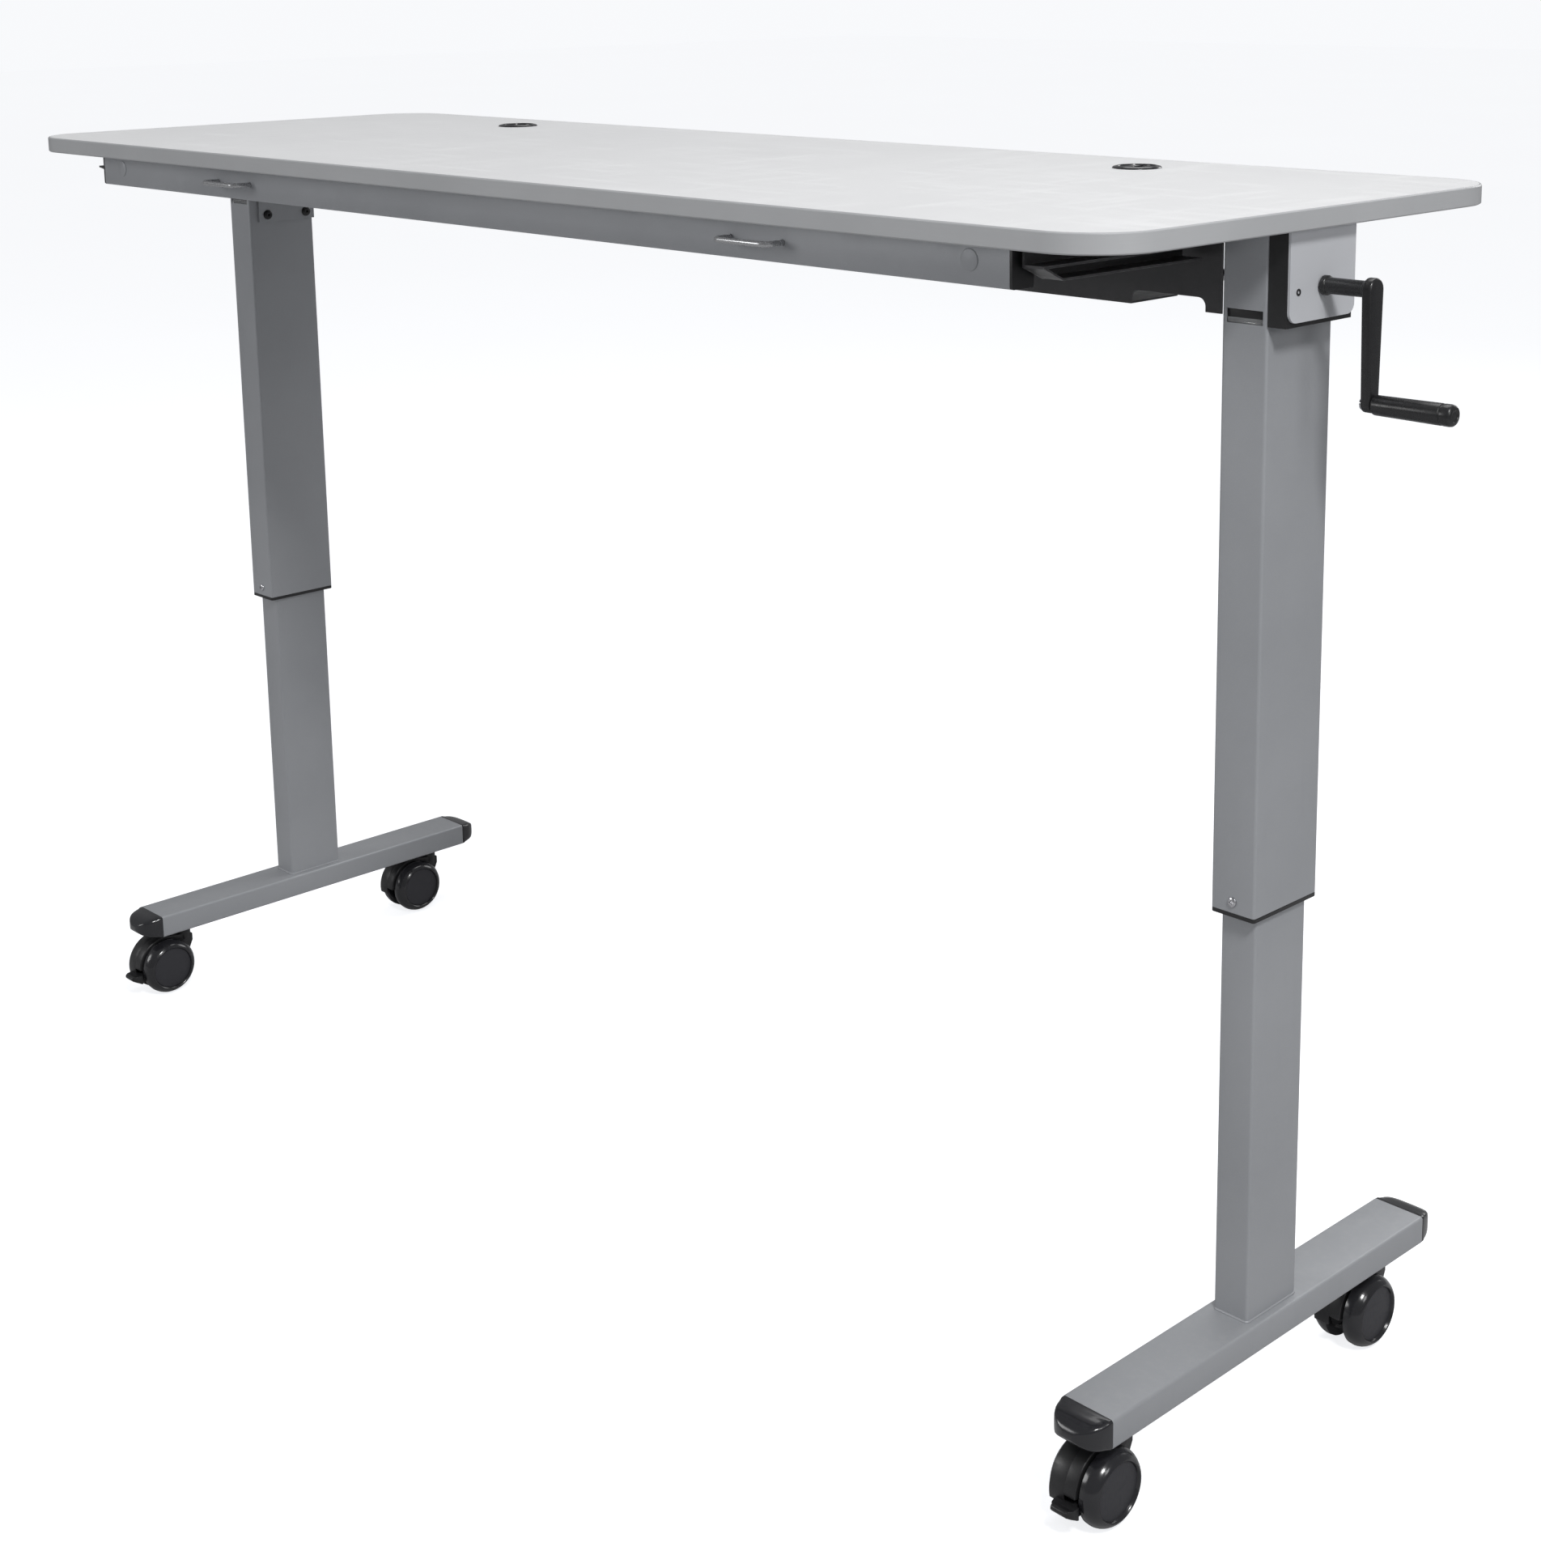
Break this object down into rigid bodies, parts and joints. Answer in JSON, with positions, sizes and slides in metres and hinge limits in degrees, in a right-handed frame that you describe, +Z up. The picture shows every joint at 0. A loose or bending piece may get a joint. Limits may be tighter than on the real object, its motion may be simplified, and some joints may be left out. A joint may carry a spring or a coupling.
{
  "type": "height adjustable standing desk",
  "caption": "Crank-driven height-adjustable desk: long tilting worktop on two telescoping columns, T feet on twin-wheel casters, with latch pulls and cable grommets.",
  "frame": {"origin": "on the floor, below the centre of the object's bounding box at rest; the board's own centre is 63.55 mm to -X of it because the crank reaches out at +X", "axes": "+X along the desk towards the crank, +Y away from the user, +Z up"},
  "size_m": [1.956, 0.61, 1.2056],
  "materials": {
    "laminate_board": "light grey laminate on board",
    "edge_band": "grey satin edge band",
    "frame_grey": "silver-grey fine-texture powder coat",
    "charcoal": "dark powder coat",
    "black_plastic": "semi-gloss moulded plastic",
    "wheel_black": "polished moulded wheel",
    "steel": "turned and plated steel",
    "bronze": "machined nut"
  },
  "bodies": {
    "frame": {"outer_tube_left": "frame_grey", "outer_tube_right": "frame_grey", "wiper_left": "black_plastic", "wiper_right": "black_plastic", "bearing_block_left": "charcoal", "bearing_block_right": "charcoal", "cross_channel": "charcoal", "end_plate_left": "frame_grey", "end_plate_right": "frame_grey", "gearbox_housing": "black_plastic", "cover_plate": "frame_grey"},
    "top": {"worktop": "laminate_board", "edge_band": "edge_band", "grommet_ring_left": "black_plastic", "grommet_ring_right": "black_plastic", "front_beam": "frame_grey", "beam_cap_left": "black_plastic", "beam_cap_right": "black_plastic", "support_arm_left": "charcoal", "support_arm_right": "charcoal", "hinge_leaf_left": "charcoal", "hinge_leaf_right": "charcoal"},
    "crank": {"drive_shaft": "steel", "crank_arm": "black_plastic", "grip_pin": "steel", "drive_gear_left": "steel", "drive_gear_right": "steel"},
    "grip": {"crank_grip": "black_plastic"},
    "grommet_cap_left": {"grommet_cap_left": "black_plastic"},
    "pull_left": {"latch_pull_left": "steel"},
    "grommet_cap_right": {"grommet_cap_right": "black_plastic"},
    "pull_right": {"latch_pull_right": "steel"},
    "leg_left": {"inner_tube_left": "frame_grey", "screw_nut_left": "bronze", "foot_tube_left": "frame_grey", "foot_cap_front_left": "black_plastic", "foot_cap_rear_left": "black_plastic"},
    "leg_right": {"inner_tube_right": "frame_grey", "screw_nut_right": "bronze", "foot_tube_right": "frame_grey", "foot_cap_front_right": "black_plastic", "foot_cap_rear_right": "black_plastic"},
    "screw_left": {"lead_screw_left": "steel", "screw_gear_left": "steel"},
    "screw_right": {"lead_screw_right": "steel", "screw_gear_right": "steel"},
    "caster_front_left": {"caster_hood_front_left": "black_plastic"},
    "wheel_inner_front_left": {"wheel_inner_front_left": "wheel_black"},
    "wheel_outer_front_left": {"wheel_outer_front_left": "wheel_black"},
    "pedal_left": {"brake_pedal_front_left": "black_plastic"},
    "caster_rear_left": {"caster_hood_rear_left": "black_plastic"},
    "wheel_inner_rear_left": {"wheel_inner_rear_left": "wheel_black"},
    "wheel_outer_rear_left": {"wheel_outer_rear_left": "wheel_black"},
    "caster_front_right": {"caster_hood_front_right": "black_plastic"},
    "wheel_inner_front_right": {"wheel_inner_front_right": "wheel_black"},
    "wheel_outer_front_right": {"wheel_outer_front_right": "wheel_black"},
    "pedal_right": {"brake_pedal_front_right": "black_plastic"},
    "caster_rear_right": {"caster_hood_rear_right": "black_plastic"},
    "wheel_inner_rear_right": {"wheel_inner_rear_right": "wheel_black"},
    "wheel_outer_rear_right": {"wheel_outer_rear_right": "wheel_black"}
  },
  "joints": [
    {"name": "top_tilt", "type": "hinge", "parent": "frame", "child": "top", "pos_m": [-0.06355, 0.079, 1.168], "axis": [-1, 0, 0], "range_deg": [0, 90]},
    {"name": "grommet_turn_left", "type": "hinge", "parent": "top", "child": "grommet_cap_left", "pos_m": [-0.59755, 0.208, 1.203], "axis": [0, 0, 1], "continuous": true},
    {"name": "pull_slide_left", "type": "slide", "parent": "top", "child": "pull_left", "axis": [0, -1, 0], "range_m": [0, 0.012], "stiffness_N_per_m": 500, "springref_m": -0.012},
    {"name": "grommet_turn_right", "type": "hinge", "parent": "top", "child": "grommet_cap_right", "pos_m": [0.47045, 0.208, 1.203], "axis": [0, 0, 1], "continuous": true},
    {"name": "pull_slide_right", "type": "slide", "parent": "top", "child": "pull_right", "axis": [0, -1, 0], "range_m": [0, 0.012], "stiffness_N_per_m": 500, "springref_m": -0.012},
    {"name": "lift_left", "type": "slide", "parent": "frame", "child": "leg_left", "axis": [0, 0, 1], "range_m": [0, 0.4]},
    {"name": "lift_right", "type": "slide", "parent": "frame", "child": "leg_right", "axis": [0, 0, 1], "range_m": [0, 0.4]},
    {"name": "crank_turn", "type": "hinge", "parent": "frame", "child": "crank", "pos_m": [0.83905, 0.015, 1.131], "axis": [1, 0, 0], "range_deg": [-7200, 0]},
    {"name": "grip_spin", "type": "hinge", "parent": "crank", "child": "grip", "pos_m": [0.89705, 0.015, 1.029], "axis": [1, 0, 0], "continuous": true},
    {"name": "screw_turn_left", "type": "hinge", "parent": "frame", "child": "screw_left", "pos_m": [-0.91755, 0.015, 1.1131], "axis": [0, 0, 1], "range_deg": [-7200, 0]},
    {"name": "screw_turn_right", "type": "hinge", "parent": "frame", "child": "screw_right", "pos_m": [0.79045, 0.015, 1.1131], "axis": [0, 0, 1], "range_deg": [-7200, 0]},
    {"name": "swivel_front_left", "type": "hinge", "parent": "leg_left", "child": "caster_front_left", "pos_m": [-0.91755, -0.195, 0.038], "axis": [0, 0, 1], "continuous": true},
    {"name": "roll_inner_front_left", "type": "hinge", "parent": "caster_front_left", "child": "wheel_inner_front_left", "pos_m": [-0.90795, -0.228, 0.038], "axis": [1, 0, 0], "continuous": true},
    {"name": "roll_outer_front_left", "type": "hinge", "parent": "caster_front_left", "child": "wheel_outer_front_left", "pos_m": [-0.92715, -0.228, 0.038], "axis": [1, 0, 0], "continuous": true},
    {"name": "pedal_press_left", "type": "hinge", "parent": "caster_front_left", "child": "pedal_left", "pos_m": [-0.91755, -0.254, 0.031], "axis": [1, 0, 0], "range_deg": [0, 18]},
    {"name": "swivel_rear_left", "type": "hinge", "parent": "leg_left", "child": "caster_rear_left", "pos_m": [-0.91755, 0.225, 0.038], "axis": [0, 0, 1], "continuous": true},
    {"name": "roll_inner_rear_left", "type": "hinge", "parent": "caster_rear_left", "child": "wheel_inner_rear_left", "pos_m": [-0.90795, 0.192, 0.038], "axis": [1, 0, 0], "continuous": true},
    {"name": "roll_outer_rear_left", "type": "hinge", "parent": "caster_rear_left", "child": "wheel_outer_rear_left", "pos_m": [-0.92715, 0.192, 0.038], "axis": [1, 0, 0], "continuous": true},
    {"name": "swivel_front_right", "type": "hinge", "parent": "leg_right", "child": "caster_front_right", "pos_m": [0.79045, -0.195, 0.038], "axis": [0, 0, 1], "continuous": true},
    {"name": "roll_inner_front_right", "type": "hinge", "parent": "caster_front_right", "child": "wheel_inner_front_right", "pos_m": [0.78085, -0.228, 0.038], "axis": [1, 0, 0], "continuous": true},
    {"name": "roll_outer_front_right", "type": "hinge", "parent": "caster_front_right", "child": "wheel_outer_front_right", "pos_m": [0.80005, -0.228, 0.038], "axis": [1, 0, 0], "continuous": true},
    {"name": "pedal_press_right", "type": "hinge", "parent": "caster_front_right", "child": "pedal_right", "pos_m": [0.79045, -0.254, 0.031], "axis": [1, 0, 0], "range_deg": [0, 18]},
    {"name": "swivel_rear_right", "type": "hinge", "parent": "leg_right", "child": "caster_rear_right", "pos_m": [0.79045, 0.225, 0.038], "axis": [0, 0, 1], "continuous": true},
    {"name": "roll_inner_rear_right", "type": "hinge", "parent": "caster_rear_right", "child": "wheel_inner_rear_right", "pos_m": [0.78085, 0.192, 0.038], "axis": [1, 0, 0], "continuous": true},
    {"name": "roll_outer_rear_right", "type": "hinge", "parent": "caster_rear_right", "child": "wheel_outer_rear_right", "pos_m": [0.80005, 0.192, 0.038], "axis": [1, 0, 0], "continuous": true}
  ],
  "couplings": [
    {"joint": "lift_right", "follows": "lift_left", "ratio": 1},
    {"joint": "crank_turn", "follows": "lift_left", "rad_per_m": -314.16},
    {"joint": "screw_turn_left", "follows": "lift_left", "rad_per_m": -314.16},
    {"joint": "screw_turn_right", "follows": "lift_left", "rad_per_m": -314.16}
  ]
}
